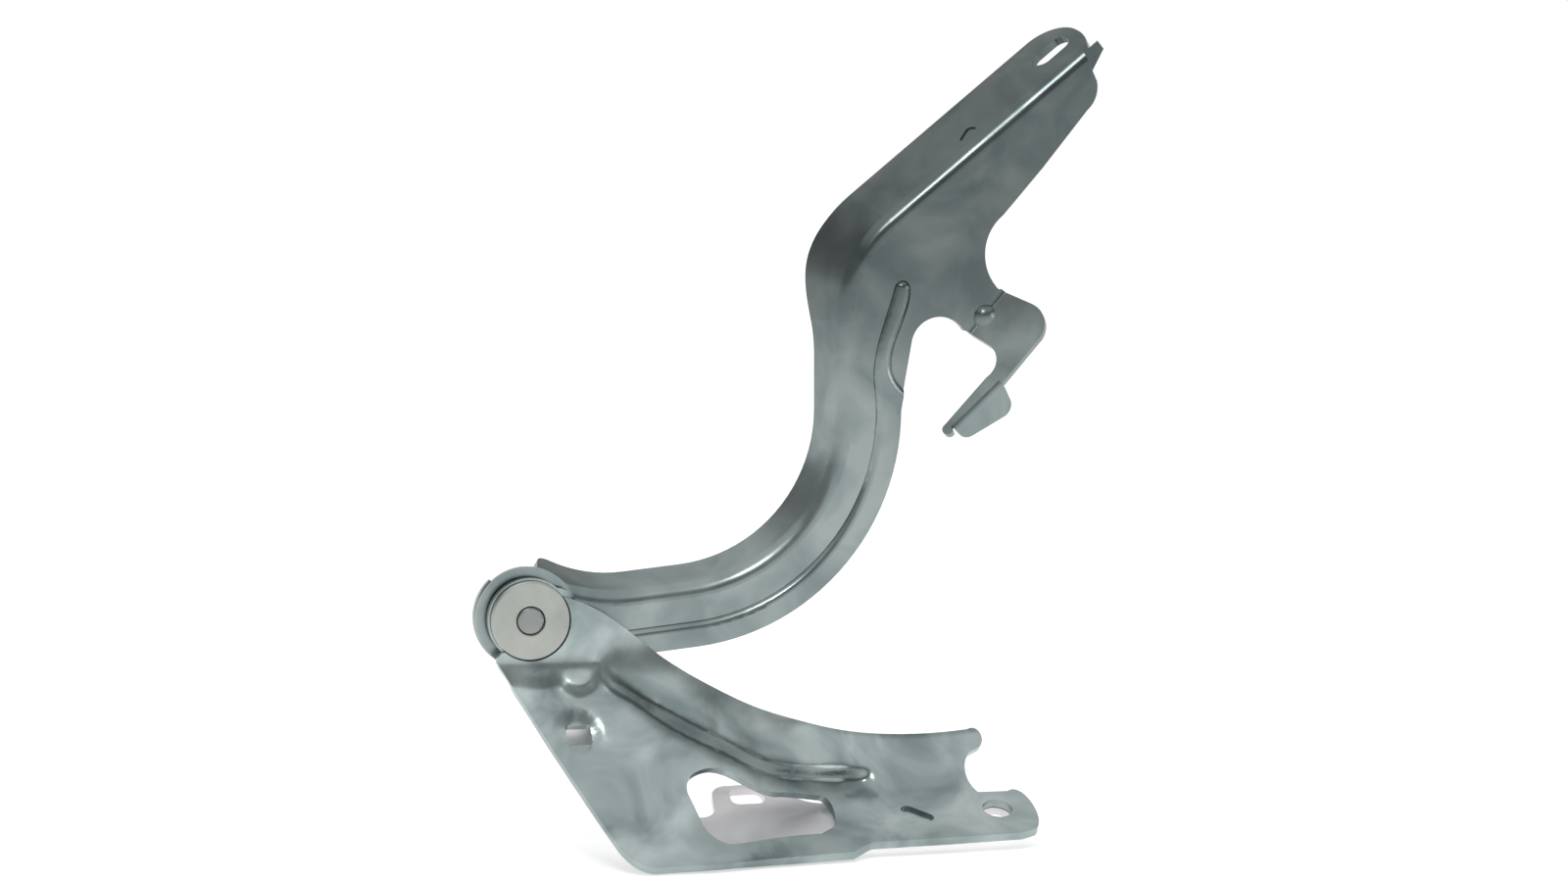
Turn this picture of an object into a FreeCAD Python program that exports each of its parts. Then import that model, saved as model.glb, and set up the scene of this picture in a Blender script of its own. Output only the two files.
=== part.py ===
import FreeCAD, Part
import math
import os
import Sketcher
from FreeCAD import Placement, Rotation, Vector

# Gooseneck bonnet hinge in pressed steel: a two-plate body bracket and one arm on a riveted pivot.
# X runs from the pivot towards the bracket's fixing ear, Z is up and the arm turns about Y.
# The origin is the pivot's centre on the disc's front face. Y grows towards the arm's side.

doc = FreeCAD.newDocument("bonnet_hinge")

# Driving sizes, millimetres and degrees

SIZES = {
    "bracket_gauge": 3.0,
    "foot_gauge": 3.0,
    "arm_gauge": 3.0,
    "disc_diameter": 28.6,
    "disc_thick": 3.0,
    "disc_edge_round": 0.5,
    "lug_radius": 17.0,
    "seat_clearance": 0.25,
    "spacer_thick": 2.0,
    "spacer_diameter": 26.0,
    "tenon_diameter": 10.0,
    "tenon_groove": 0.6,
    "shoulder_diameter": 13.0,
    "bush_wall": 1.5,
    "bush_flange_diameter": 24.0,
    "bush_flange_thick": 1.0,
    "rear_washer_thick": 2.0,
    "rear_washer_diameter": 26.0,
    "rivet_head_diameter": 21.0,
    "rivet_head_thick": 3.5,
    "running_clearance": 0.04,
    "face_clearance": 0.05,
    "route_start_x": 3.7,
    "route_start_z": 15.6,
    "route_start_angle": -31.5,
    "neck_entry_radius": 57.0,
    "neck_low_angle": 5.5,
    "neck_low_length": 21.5,
    "neck_radius": 63.0,
    "neck_high_angle": 90.0,
    "neck_high_length": 33.0,
    "shoulder_radius": 48.0,
    "top_angle": 39.3,
    "top_length": 104.0,
    "flange_flare": 20.0,
    "bend_radius": 6.0,
    "flange_depth_neck": 17.0,
    "flange_depth_top": 29.6,
    "eye_radius": 18.5,
    "neck_web_width": 22.0,
    "step_offset": 12.6,
    "step_height": 2.0,
    "rib_half_width": 3.2,
    "lip_depth": 5.0,
    "top_slot_length": 16.5,
    "top_slot_width": 9.0,
    "hook_angle": 40.0,
    "hook_flange_angle": 60.0,
    "dome_radius": 4.7,
    "dome_height": 2.4,
    "web_lean": 0.85,
    "foot_slope": 22.2,
    "recess_depth": 2.0,
    "recess_extra": 2.0,
    "recess_wall": 8.0,
    "square_hole": 13.0,
    "ear_hole_diameter": 11.0,
    "foot_gap": 0.3,
    "foot_slot_length": 12.4,
    "foot_slot_width": 10.3,
}

sheet = doc.addObject("Spreadsheet::Sheet", "sizes")
for row, (alias, value) in enumerate(SIZES.items(), start=1):
    sheet.set("A%d" % row, alias)
    sheet.set("B%d" % row, str(value))
    sheet.setAlias("B%d" % row, alias)
doc.recompute()


def size(alias):
    """The value of one driving size."""
    return float(sheet.get(alias))


# Small geometry helpers

def flat(point, y=0.0):
    """An (x, z) pair placed in the pivot plane or at depth y behind it."""
    return Vector(point[0], y, point[1])


def heading(angle):
    """Unit vector in the pivot plane at an angle from X, anticlockwise as seen from the front."""
    return Vector(math.cos(math.radians(angle)), 0, math.sin(math.radians(angle)))


def ease(value):
    """Smooth rise from 0 to 1."""
    held = min(1.0, max(0.0, value))
    return held ** 3 * (held * (6 * held - 15) + 10)


def soft_min(first, second, blend):
    """Smaller of two heights, with the corner between them rounded."""
    overlap = max(blend - abs(first - second), 0.0) / blend
    return min(first, second) - overlap ** 3 * blend / 6.0


def soft_ramp(value, blend):
    """Nought below zero and the value itself above it, rounded between."""
    if value <= -blend:
        return 0.0
    if value >= blend:
        return value
    return (value + blend) ** 2 / (4 * blend)


def along(points, value):
    """Reading at x of the straight runs through (x, z) points."""
    if value <= points[0][0]:
        return points[0][1]
    for (x0, z0), (x1, z1) in zip(points, points[1:]):
        if value <= x1:
            return z0 + (z1 - z0) * (value - x0) / (x1 - x0)
    return points[-1][1]


def curve(points, y=0.0):
    spline = Part.BSplineCurve()
    spline.interpolate([flat(point, y) for point in points])
    return spline.toShape()


def line(start, end):
    return Part.LineSegment(start, end).toShape()


def arc(start, middle, end):
    return Part.Arc(start, middle, end).toShape()


def rod(radius, start, end):
    """Round bar between two points."""
    axis = end - start
    return Part.makeCylinder(radius, axis.Length, start, axis)


def prism(points, direction):
    """Straight-sided prism on a closed run of points."""
    return Part.Face(Part.makePolygon(points + points[:1])).extrude(direction)


def rounded_prism(length, width, corner, centre, across, normal, depth):
    """Prism of a rounded rectangle through the centre, its length across, its axis the normal."""
    axis = Vector(normal).normalize()
    side = axis.cross(across).normalize()
    ahead = side.cross(axis).normalize()
    half_l = length / 2
    half_w = width / 2
    radius = min(corner, half_w * 0.999, half_l * 0.999)

    def place(u, v):
        return centre + ahead * u + side * v - axis * (depth / 2)

    edges = []
    last = None
    first = None
    for su, sv, turn in ((1, 1, 0), (-1, 1, 90), (-1, -1, 180), (1, -1, 270)):
        cu = su * (half_l - radius)
        cv = sv * (half_w - radius)
        spots = []
        for degrees in (turn, turn + 45, turn + 90):
            angle = math.radians(degrees)
            spots.append(place(cu + radius * math.cos(angle), cv + radius * math.sin(angle)))
        if last is not None and (last - spots[0]).Length > 1e-6:
            edges.append(line(last, spots[0]))
        edges.append(arc(*spots))
        first = first or spots[0]
        last = spots[2]
    if (last - first).Length > 1e-6:
        edges.append(line(last, first))
    return Part.Face(Part.Wire(edges)).extrude(axis * depth)


def pressed_sheet(height, across, up, outline, gauge):
    """Sheet metal whose front face is y = height(x, z), trimmed square to its own surface."""
    rows = [[Vector(x, height(x, z), z) for z in up] for x in across]
    surface = Part.BSplineSurface()
    surface.interpolate(rows)
    low = min(point.y for row in rows for point in row) - 10
    trim = outline.copy()
    trim.translate(Vector(0, low, 0))
    front = surface.toShape().common(trim.extrude(Vector(0, 60 - low, 0)))
    face = max(front.Faces, key=lambda item: item.Area)
    solid = face.makeOffsetShape(gauge, 1e-3, fill=True)
    if solid.CenterOfMass.y < face.CenterOfMass.y:
        solid = face.makeOffsetShape(-gauge, 1e-3, fill=True)
    return Part.Solid(solid.Shells[0]) if not solid.Solids else solid.Solids[0]


def one_solid(shape):
    """The single solid that a boolean must leave."""
    if len(shape.Solids) != 1:
        raise ValueError("expected one solid, found %d" % len(shape.Solids))
    return shape.Solids[0]


def steps(start, stop, pitch):
    count = max(2, int(round((stop - start) / pitch)) + 1)
    return [start + (stop - start) * index / (count - 1) for index in range(count)]


def add_shape(label, shape):
    feature = doc.addObject("Part::Feature", label)
    feature.Label = label
    feature.Shape = shape
    feature.Placement = Placement()
    return feature


# Depths of the pivot's faces, measured back from the disc's front, as expressions and as values

LUG_FRONT = "sizes.disc_thick"
LUG_BACK = "(sizes.disc_thick + sizes.bracket_gauge)"
WEB_FRONT = "(%s + sizes.spacer_thick)" % LUG_BACK
WEB_BACK = "(%s + sizes.arm_gauge)" % WEB_FRONT
BUSH_BACK = "(%s + sizes.bush_flange_thick)" % WEB_BACK
REAR_BACK = "(%s + sizes.rear_washer_thick)" % BUSH_BACK
TENON_RADIUS = "sizes.tenon_diameter / 2"
SHOULDER_RADIUS = "sizes.shoulder_diameter / 2"
BUSH_BORE = "(%s + sizes.running_clearance)" % SHOULDER_RADIUS
BUSH_OUTSIDE = "(%s + sizes.bush_wall)" % BUSH_BORE

lug_front = size("disc_thick")
lug_back = lug_front + size("bracket_gauge")
web_front = lug_back + size("spacer_thick")
web_back = web_front + size("arm_gauge")
tenon_radius = size("tenon_diameter") / 2
eye_bore = size("shoulder_diameter") / 2 + size("running_clearance") + size("bush_wall")


# Turned and blanked pieces of the pivot

def turned_body(label, corners):
    """A body revolved about the pivot axis from (radius, depth) corner expressions."""
    body = doc.addObject("PartDesign::Body", label)
    body.Label = label
    sketch = body.newObject("Sketcher::SketchObject", label + "_profile")
    plane = [item for item in body.Origin.OriginFeatures if item.Role == "XY_Plane"][0]
    sketch.AttachmentSupport = [(plane, "")]
    sketch.MapMode = "FlatFace"
    spots = [Vector(float(body.evalExpression(r)), float(body.evalExpression(d)), 0) for r, d in corners]
    count = len(spots)
    for index in range(count):
        sketch.addGeometry(Part.LineSegment(spots[index], spots[(index + 1) % count]), False)
    for index in range(count):
        sketch.addConstraint(Sketcher.Constraint("Coincident", index, 2, (index + 1) % count, 1))
    for index, (spot, (radius, depth)) in enumerate(zip(spots, corners)):
        for kind, reach, expression, axis in (("DistanceX", spot.x, radius, -2), ("DistanceY", spot.y, depth, -1)):
            if abs(reach) < 1e-9:
                sketch.addConstraint(Sketcher.Constraint("PointOnObject", index, 1, axis))
                continue
            number = sketch.addConstraint(Sketcher.Constraint(kind, -1, 1, index, 1, reach))
            sketch.setExpression("Constraints[%d]" % number, expression)
    turned = body.newObject("PartDesign::Revolution", label + "_turned")
    turned.Profile = sketch
    turned.ReferenceAxis = (sketch, ["V_Axis"])
    turned.Angle = 360
    body.Tip = turned
    doc.recompute()
    return body


DISC_BORE = "(%s + sizes.running_clearance)" % TENON_RADIUS
disc = turned_body("pivot_disc", [
    (DISC_BORE + " + 0.4", "0"),
    ("sizes.disc_diameter / 2 - sizes.disc_edge_round", "0"),
    ("sizes.disc_diameter / 2", "sizes.disc_edge_round"),
    ("sizes.disc_diameter / 2", LUG_FRONT),
    (DISC_BORE, LUG_FRONT),
    (DISC_BORE, "0.4"),
])

rivet = turned_body("pivot_rivet", [
    ("0", "0"),
    (TENON_RADIUS + " - sizes.tenon_groove", "0"),
    (TENON_RADIUS, "sizes.tenon_groove"),
    (TENON_RADIUS, LUG_BACK),
    (SHOULDER_RADIUS, LUG_BACK),
    (SHOULDER_RADIUS, REAR_BACK),
    ("sizes.rivet_head_diameter / 2", REAR_BACK),
    ("sizes.rivet_head_diameter / 2", REAR_BACK + " + sizes.rivet_head_thick * 0.4"),
    ("sizes.rivet_head_diameter / 2 - 3", REAR_BACK + " + sizes.rivet_head_thick"),
    ("0", REAR_BACK + " + sizes.rivet_head_thick"),
])

spacer = turned_body("spacer_washer", [
    (BUSH_BORE, LUG_BACK),
    ("sizes.spacer_diameter / 2", LUG_BACK),
    ("sizes.spacer_diameter / 2", WEB_FRONT + " - sizes.face_clearance"),
    (BUSH_BORE, WEB_FRONT + " - sizes.face_clearance"),
])

bush = turned_body("pivot_bush", [
    (BUSH_BORE, WEB_FRONT),
    (BUSH_OUTSIDE, WEB_FRONT),
    (BUSH_OUTSIDE, WEB_BACK),
    ("sizes.bush_flange_diameter / 2", WEB_BACK),
    ("sizes.bush_flange_diameter / 2", BUSH_BACK),
    (BUSH_BORE, BUSH_BACK),
])

rear_washer = turned_body("rear_washer", [
    (BUSH_BORE, BUSH_BACK + " + sizes.face_clearance"),
    ("sizes.rear_washer_diameter / 2", BUSH_BACK + " + sizes.face_clearance"),
    ("sizes.rear_washer_diameter / 2", REAR_BACK),
    (BUSH_BORE, REAR_BACK),
])


# Arm: the route of the bend that turns the web into the flange

def route_pieces():
    """Straight and curved runs of the route: kind, start, start heading, end heading, radius or length."""
    spot = Vector(size("route_start_x"), 0, size("route_start_z"))
    angle = size("route_start_angle")
    plan = (
        ("bend", size("neck_low_angle"), size("neck_entry_radius")),
        ("run", None, size("neck_low_length")),
        ("bend", size("neck_high_angle"), size("neck_radius")),
        ("run", None, size("neck_high_length")),
        ("bend", size("top_angle"), size("shoulder_radius")),
        ("run", None, size("top_length")),
    )
    pieces = []
    for kind, target, reach in plan:
        if kind == "run":
            pieces.append((kind, spot, angle, angle, reach))
            spot = spot + heading(angle) * reach
            continue
        turn = 1 if target > angle else -1
        centre = spot + heading(angle + 90) * reach * turn
        pieces.append((kind, centre, angle, target, reach))
        spot = centre - heading(target + 90) * reach * turn
        angle = target
    return pieces, spot


ROUTE, route_end = route_pieces()


def route_edges(offset, y, first=0, last=None):
    """The route's edges moved by the offset towards the web and set at depth y."""
    edges = []
    lift = Vector(0, y, 0)
    for kind, spot, begin, end, reach in ROUTE[first:last]:
        if kind == "run":
            shift = heading(begin - 90) * offset + lift
            edges.append(line(spot + shift, spot + heading(begin) * reach + shift))
            continue
        turn = 1 if end > begin else -1
        radius = (reach + offset * turn) * turn
        spots = [spot - heading(angle + 90) * radius + lift for angle in (begin, (begin + end) / 2, end)]
        edges.append(arc(*spots))
    return edges


def bend_face(spot, first, first_back, second, second_back, radius, gauge, convex, tails=(0, 0)):
    """Section of one bend between two sheets whose fronts meet at the spot, and its tangent length."""
    angle = math.acos(max(-1.0, min(1.0, -first.dot(second))))
    side = 1 if convex else -1
    rear = radius - gauge * side
    reach = radius * math.tan(angle / 2)
    near = spot + first * reach
    far = spot + second * reach
    centre = near + first_back * (radius * side)
    middle = (spot - centre).normalize()
    near_back = near + first_back * gauge
    far_back = far + second_back * gauge
    edges = []
    if tails[0]:
        edges.append(line(near + first * tails[0], near))
    edges.append(arc(near, centre + middle * radius, far))
    if tails[1]:
        edges.append(line(far, far + second * tails[1]))
    edges.append(line(far + second * tails[1], far_back + second * tails[1]))
    if tails[1]:
        edges.append(line(far_back + second * tails[1], far_back))
    edges.append(arc(far_back, centre + middle * rear, near_back))
    if tails[0]:
        edges.append(line(near_back, near_back + first * tails[0]))
    edges.append(line(near_back + first * tails[0], near + first * tails[0]))
    return Part.Face(Part.Wire(edges)), reach


BACK = Vector(0, 1, 0)
FLARE = math.radians(size("flange_flare"))
GAUGE = size("arm_gauge")


def flange_axes(angle):
    """Flange's run down from the bend and its inward normal, for a route heading."""
    web_way = heading(angle - 90)
    down = web_way * -math.sin(FLARE) + BACK * math.cos(FLARE)
    inward = web_way * math.cos(FLARE) + BACK * math.sin(FLARE)
    return web_way, down, inward


def folded_strip():
    """Bend and flared flange of the arm: the section drawn out on the straights, turned on the bends."""
    length = size("flange_depth_top") / math.cos(FLARE) + 2
    parts = []
    for kind, spot, begin, end, reach in ROUTE:
        turn = 1 if end > begin else -1
        start = spot if kind == "run" else spot - heading(begin + 90) * (reach * turn)
        web_way, down, inward = flange_axes(begin)
        face, tangent = bend_face(start + BACK * web_front, web_way, BACK, down, inward,
                                  size("bend_radius"), GAUGE, True, (0, length))
        if kind == "run":
            parts.append(face.extrude(heading(begin) * reach))
            continue
        parts.append(face.revolve(spot, Vector(0, -1, 0), end - begin))
    strip = parts[0].fuse(parts[1:])
    return strip, tangent


def flange_trims():
    """What is cut off the strip: the shallower neck and the rounded ends."""
    neck = web_front + size("flange_depth_neck")
    top = web_front + size("flange_depth_top")
    low = ROUTE[3][1].z + 18
    high = low + 50
    far = top + 12
    levels = [low + (high - low) * index / 8 for index in range(9)]
    rise = Part.BSplineCurve()
    rise.interpolate([Vector(-60, neck + (top - neck) * ease(index / 8), level)
                      for index, level in enumerate(levels)])
    spots = [Vector(-60, top, high), Vector(-60, top, 260), Vector(-60, far, 260), Vector(-60, far, -30),
             Vector(-60, neck, -30), Vector(-60, neck, low)]
    edges = [rise.toShape()] + [line(a, b) for a, b in zip(spots, spots[1:])]
    beyond = Part.Face(Part.Wire(edges)).extrude(Vector(320, 0, 0))

    angle = size("top_angle")
    ahead = heading(angle)
    web_way, down, inward = flange_axes(angle)
    apex = route_end + BACK * web_front

    def on_flange(run, deep):
        return apex + ahead * run + down * deep - inward * 5

    end = Part.Face(Part.Wire([
        line(on_flange(-4.6, 1.4), on_flange(-3.7, 2.8)),
        arc(on_flange(-3.7, 2.8), on_flange(-0.9, 9.0), on_flange(0, 16.0)),
        arc(on_flange(0, 16.0), on_flange(-4.2, 27.2), on_flange(-15.5, 31.5)),
        line(on_flange(-15.5, 31.5), on_flange(-15.5, 45)),
        line(on_flange(-15.5, 45), on_flange(10, 45)),
        line(on_flange(10, 45), on_flange(10, 1.4)),
        line(on_flange(10, 1.4), on_flange(-4.6, 1.4)),
    ])).extrude(inward * 14)

    def on_web(run, offset, depth):
        return route_end + ahead * run + web_way * offset + BACK * depth

    nose = prism([on_web(-9.9, 11.3, 6), on_web(-7, 0.3, 6), on_web(-4.6, -4, 6),
                  on_web(12, -4, 6), on_web(12, 14, 6)], BACK * 3.6)

    first = size("route_start_angle")
    begin = Vector(size("route_start_x"), 0, size("route_start_z"))
    run = heading(first)
    round_off = 5.0

    def on_tip(forward, depth):
        return begin + run * forward + heading(first - 90) * 14 + BACK * (neck - depth)

    tip = Part.Face(Part.Wire([
        arc(on_tip(0, round_off), on_tip(round_off * 0.29, round_off * 0.29), on_tip(round_off, 0)),
        line(on_tip(round_off, 0), on_tip(round_off, -6)),
        line(on_tip(round_off, -6), on_tip(-8, -6)),
        line(on_tip(-8, -6), on_tip(-8, round_off)),
        line(on_tip(-8, round_off), on_tip(0, round_off)),
    ])).extrude(heading(first + 90) * 40)
    return [beyond, end, nose, tip]


# Arm: outline of the flat web, from the eye round the neck to the blade

NOTCH_NEAR = (144.0, 98.2)
NOTCH_TOP = (154.0, 106.4)
NOTCH_FAR = (163.9, 101.2)
HOOK_LOW = (166.2, 100.7)
HOOK_HIGH = (178.7, 115.0)
WAIST = (171.9, 129.0)
BLADE_LOW = (178.8, 143.6)
BLADE_MID = (194.2, 161.2)
BLADE_HIGH = (211.4, 182.4)
BLADE_ROUND = (215.2, 190.0)
BLADE_TOP = (213.6, 196.6)

HOOK_WAY = (flat(HOOK_LOW) - flat(HOOK_HIGH)).normalize()
HOOK_OUT = Vector(-HOOK_WAY.z, 0, HOOK_WAY.x)
HOOK_TURN = math.radians(size("hook_angle"))
TAB_OUT = HOOK_OUT * math.cos(HOOK_TURN) - BACK * math.sin(HOOK_TURN)
TAB_BACK = HOOK_OUT * math.sin(HOOK_TURN) + BACK * math.cos(HOOK_TURN)
HOOK_BEND = 3.0
HOOK_REACH = HOOK_BEND * math.tan(HOOK_TURN / 2)


def web_face(y, reach):
    """Flat web between the long bend's tangent line and its sheared edge."""
    inner = route_edges(reach, y)
    outer = route_edges(size("neck_web_width"), y, 1, 3)
    inner_start = inner[0].Vertexes[0].Point
    inner_end = inner[-1].Vertexes[-1].Point
    pull = HOOK_OUT * -HOOK_REACH
    hook_low = flat(HOOK_LOW, y) + pull
    hook_high = flat(HOOK_HIGH, y) + pull
    centre = Vector(0, y, 0)
    eye_foot = Vector(3.0, y, -math.sqrt(size("eye_radius") ** 2 - 9.0))
    edges = [line(eye_foot, outer[0].Vertexes[0].Point)] + outer + [
        line(outer[-1].Vertexes[-1].Point, flat(NOTCH_NEAR, y)),
        arc(flat(NOTCH_NEAR, y), flat(NOTCH_TOP, y), flat(NOTCH_FAR, y)),
        line(flat(NOTCH_FAR, y), hook_low),
        line(hook_low, hook_high),
        arc(hook_high, flat(WAIST, y), flat(BLADE_LOW, y)),
        line(flat(BLADE_LOW, y), flat(BLADE_MID, y)),
        line(flat(BLADE_MID, y), flat(BLADE_HIGH, y)),
        arc(flat(BLADE_HIGH, y), flat(BLADE_ROUND, y), flat(BLADE_TOP, y)),
        line(flat(BLADE_TOP, y), inner_end),
    ] + inner + [line(inner_start, centre), line(centre, eye_foot)]
    return Part.Face(Part.Wire(Part.__sortEdges__(edges)))


def eye_lip():
    """Short lip turned back round the far side of the eye."""
    outer = size("eye_radius") + 0.4
    profile, reach = bend_face(Vector(outer, web_front, 0), Vector(-1, 0, 0), BACK, BACK, Vector(-1, 0, 0),
                               4.0, GAUGE, True, (2.5, size("lip_depth") - 2.5))
    return profile.rotate(Vector(0, 0, 0), Vector(0, -1, 0), 133).revolve(
        Vector(0, 0, 0), Vector(0, -1, 0), 108)


def hook_parts():
    """The tab turned towards the front, its finger, and the finger's turned-back edge."""
    origin = flat(HOOK_HIGH, web_front)

    def on_tab(run, out):
        return origin + HOOK_WAY * run + TAB_OUT * out

    bend, reach = bend_face(on_tab(-0.9, 0), HOOK_OUT * -1, BACK, TAB_OUT, TAB_BACK, HOOK_BEND, GAUGE, False)
    bend = bend.extrude(HOOK_WAY * 20.3)
    ridge_start = on_tab(27.7, 23.0)
    ridge_end = on_tab(51.5, 20.4)
    ridge = (ridge_end - ridge_start).normalize()
    outward = ridge.cross(TAB_BACK)
    if outward.dot(TAB_OUT) < 0:
        outward = outward * -1
    turn = math.radians(size("hook_flange_angle"))
    fold_out = outward * math.cos(turn) + TAB_BACK * math.sin(turn)
    fold_back = TAB_BACK * math.cos(turn) - outward * math.sin(turn)
    fold, fold_reach = bend_face(ridge_start, outward * -1, TAB_BACK, fold_out, fold_back, 4.0, GAUGE, True)
    fold = fold.extrude(ridge_end - ridge_start)

    outline = [
        line(on_tab(-0.9, reach), on_tab(-3.0, 12.0)),
        arc(on_tab(-3.0, 12.0), on_tab(-1.4, 19.2), on_tab(5.0, 23.1)),
        line(on_tab(5.0, 23.1), on_tab(27.7, 23.1)),
        line(on_tab(27.7, 23.1), ridge_start - outward * fold_reach),
        line(ridge_start - outward * fold_reach, ridge_end - outward * fold_reach),
        line(ridge_end - outward * fold_reach, on_tab(52.6, 20.2)),
        arc(on_tab(52.6, 20.2), on_tab(55.2, 18.2), on_tab(52.4, 16.0)),
        line(on_tab(52.4, 16.0), on_tab(29.1, 16.7)),
        arc(on_tab(29.1, 16.7), on_tab(21.6, 15.2), on_tab(18.8, 9.9)),
        line(on_tab(18.8, 9.9), on_tab(19.4, reach)),
        line(on_tab(19.4, reach), on_tab(-0.9, reach)),
    ]
    tab = Part.Face(Part.Wire(outline)).extrude(TAB_BACK * GAUGE)

    def on_fold(run, out):
        return ridge_start + ridge * run + fold_out * out

    turned = Part.Face(Part.Wire([
        line(on_fold(0, fold_reach), on_fold(1.5, 8.4)),
        arc(on_fold(1.5, 8.4), on_fold(3.6, 11.0), on_fold(7.0, 11.6)),
        line(on_fold(7.0, 11.6), on_fold(20.5, 7.6)),
        arc(on_fold(20.5, 7.6), on_fold(23.4, 5.4), on_fold(23.95, fold_reach)),
        line(on_fold(23.95, fold_reach), on_fold(0, fold_reach)),
    ])).extrude(fold_back * GAUGE)
    return [bend, tab, fold, turned]


def step_region(inset):
    """Face of the raised step and its rib in the pivot plane, drawn in from its edge by the inset."""
    lower = route_edges(size("step_offset") + inset, 0, 1, 3)
    start = lower[0].Vertexes[0].Point
    foot = lower[-1].Vertexes[-1].Point
    begin = start + heading(size("neck_low_angle")) * (inset - 4)
    half = size("rib_half_width") - inset

    def beside(x, z, way):
        return Vector(x + way * half, 0, z - way * half * 0.28)

    left = Part.BSplineCurve()
    left.interpolate([foot, beside(132.1, 85, -1), beside(134.7, 99.3, -1), beside(140.3, 117, -1)],
                     InitialTangent=Vector(0, 0, 1), FinalTangent=Vector(0.28, 0, 0.96))
    right = Part.BSplineCurve()
    right.interpolate([beside(140.3, 117, 1), beside(135.0, 99.3, 1), beside(133.4, 88, 1),
                       Vector(140.5, 0, 80.5 - inset), Vector(152, 0, 76 - inset)])
    outside = [Vector(152, 0, 76 - inset), Vector(152, 0, 0), Vector(110, 0, -36), Vector(44, 0, -36),
               Vector(35.0 + inset, 0, -20)]
    edges = [line(begin, start)] + lower + [
        left.toShape(),
        arc(beside(140.3, 117, -1), Vector(140.3 + half * 0.28, 0, 117 + half * 0.96), beside(140.3, 117, 1)),
        right.toShape(),
    ] + [line(a, b) for a, b in zip(outside, outside[1:])] + [line(outside[-1], begin)]
    return Part.Face(Part.Wire(Part.__sortEdges__(edges)))


def step_solids():
    """The raised step and rib of the web, and the matching hollow behind it."""
    rise = size("step_height")
    block = step_region(0).extrude(BACK * (rise + GAUGE / 2 + 2))
    block.translate(BACK * (web_front - rise))
    rim = [edge for edge in block.Edges if edge.BoundBox.YMax < web_front - rise + 0.01]
    hollow = step_region(GAUGE * 0.7).extrude(BACK * rise * 2)
    hollow.translate(BACK * (web_back - rise))
    return block.makeFillet(rise * 1.6, rim), hollow


def top_details():
    """Slot through the flange's end, its small pressed mark, and the dimple on the hook's bend."""
    angle = size("top_angle")
    ahead = heading(angle)
    web_way, down, inward = flange_axes(angle)
    apex = route_end + BACK * web_front
    slot = rounded_prism(size("top_slot_length"), size("top_slot_width"), size("top_slot_width") / 2,
                         apex + ahead * -12.7 + down * 16.2, ahead, inward, 14)
    mark = rounded_prism(7.5, 4.6, 1.6, apex + ahead * -58.8 + down * 9.6, ahead + down * 0.5, inward, 1.2)

    front = (TAB_BACK + BACK) * -0.5
    front.normalize()
    height = size("dome_height")
    radius = size("dome_radius")
    ball = (radius ** 2 + height ** 2) / (2 * height)
    middle = flat(HOOK_HIGH, web_front) + HOOK_WAY * 11 + TAB_OUT * 0.3 - front * (ball - height)
    cap = Part.makeSphere(ball, middle).common(rod(radius + 2, middle + front * 1.2, middle + front * 12))
    inside = Part.makeSphere(radius * 0.64, middle).fuse([rod(radius * 0.64, middle, middle - front * 12)])
    return slot, mark, cap, inside


def build_arm():
    strip, reach = folded_strip()
    web = web_face(web_front, reach).extrude(BACK * GAUGE)
    eye = rod(size("eye_radius"), Vector(0, web_front, 0), Vector(0, web_back, 0))
    shape = web.fuse([strip, eye, eye_lip()] + hook_parts())
    for tool in flange_trims():
        shape = shape.cut(tool)
    raised, hollow = step_solids()
    bounded = web_face(web_front - 5, reach).extrude(BACK * 6.5)
    shape = shape.fuse([raised.common(bounded)]).cut(hollow)
    slot, mark, cap, inside = top_details()
    shape = shape.fuse([cap]).cut(inside)
    shape = shape.cut(slot).cut(mark)
    shape = shape.cut(rod(eye_bore, Vector(0, web_front - 5, 0), Vector(0, web_back + 5, 0)))
    return one_solid(shape.removeSplitter())


arm = add_shape("hinge_arm", build_arm())


# Bracket: pressed sheet whose front is given as a depth over the pivot plane

TOP_EDGE = [(-20, 16), (11, 10), (33, -2.5), (46, -13.4), (66, -26), (80, -33), (96, -39),
            (115, -44.3), (132, -46.5), (144, -46.8), (163, -46), (190, -45)]
STEP_EDGE = [(-16.8, -15.9), (-6.3, -16.9), (6.1, -17.7), (11.7, -17.9), (15, -20.3), (18.6, -20.1),
             (20.8, -16.9), (20.6, -12.8), (22.7, -12.2), (27.6, -16.8), (35, -22.3), (44, -28.2),
             (56.8, -36), (70.5, -42.7), (82.5, -49.4), (94.3, -52.1), (120, -54.9), (125, -56.8),
             (126.3, -60.6), (120.8, -70.2), (111.2, -79.5), (104.4, -86.1)]
EAR_POINT = (-16.8, -66.0)


def pressed_depth(x, z, share):
    """Front of the sheet: the leaning wall met by the ear's slope, each set back by its share of recess."""
    level = soft_min(along(TOP_EDGE, x), -17.0, 8.0)
    drop = soft_ramp(level - z, 4.0)
    lean = size("web_lean") + 0.2 * ease((x - 30) / 50) - 0.2 * ease((x - 95) / 45)
    deepening = size("recess_extra") * ease(max(0.0, -17 - z) / 25)
    wall = -lean * drop + share * (size("recess_depth") + deepening)
    ear = EAR_POINT[0] + (z - EAR_POINT[1]) / math.tan(math.radians(size("foot_slope")))
    return soft_min(wall, ear + share * size("foot_gap"), 8.0)


STEP_LINE = [(point.x, point.z) for point in curve(STEP_EDGE).discretize(Distance=2.0)]


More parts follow.
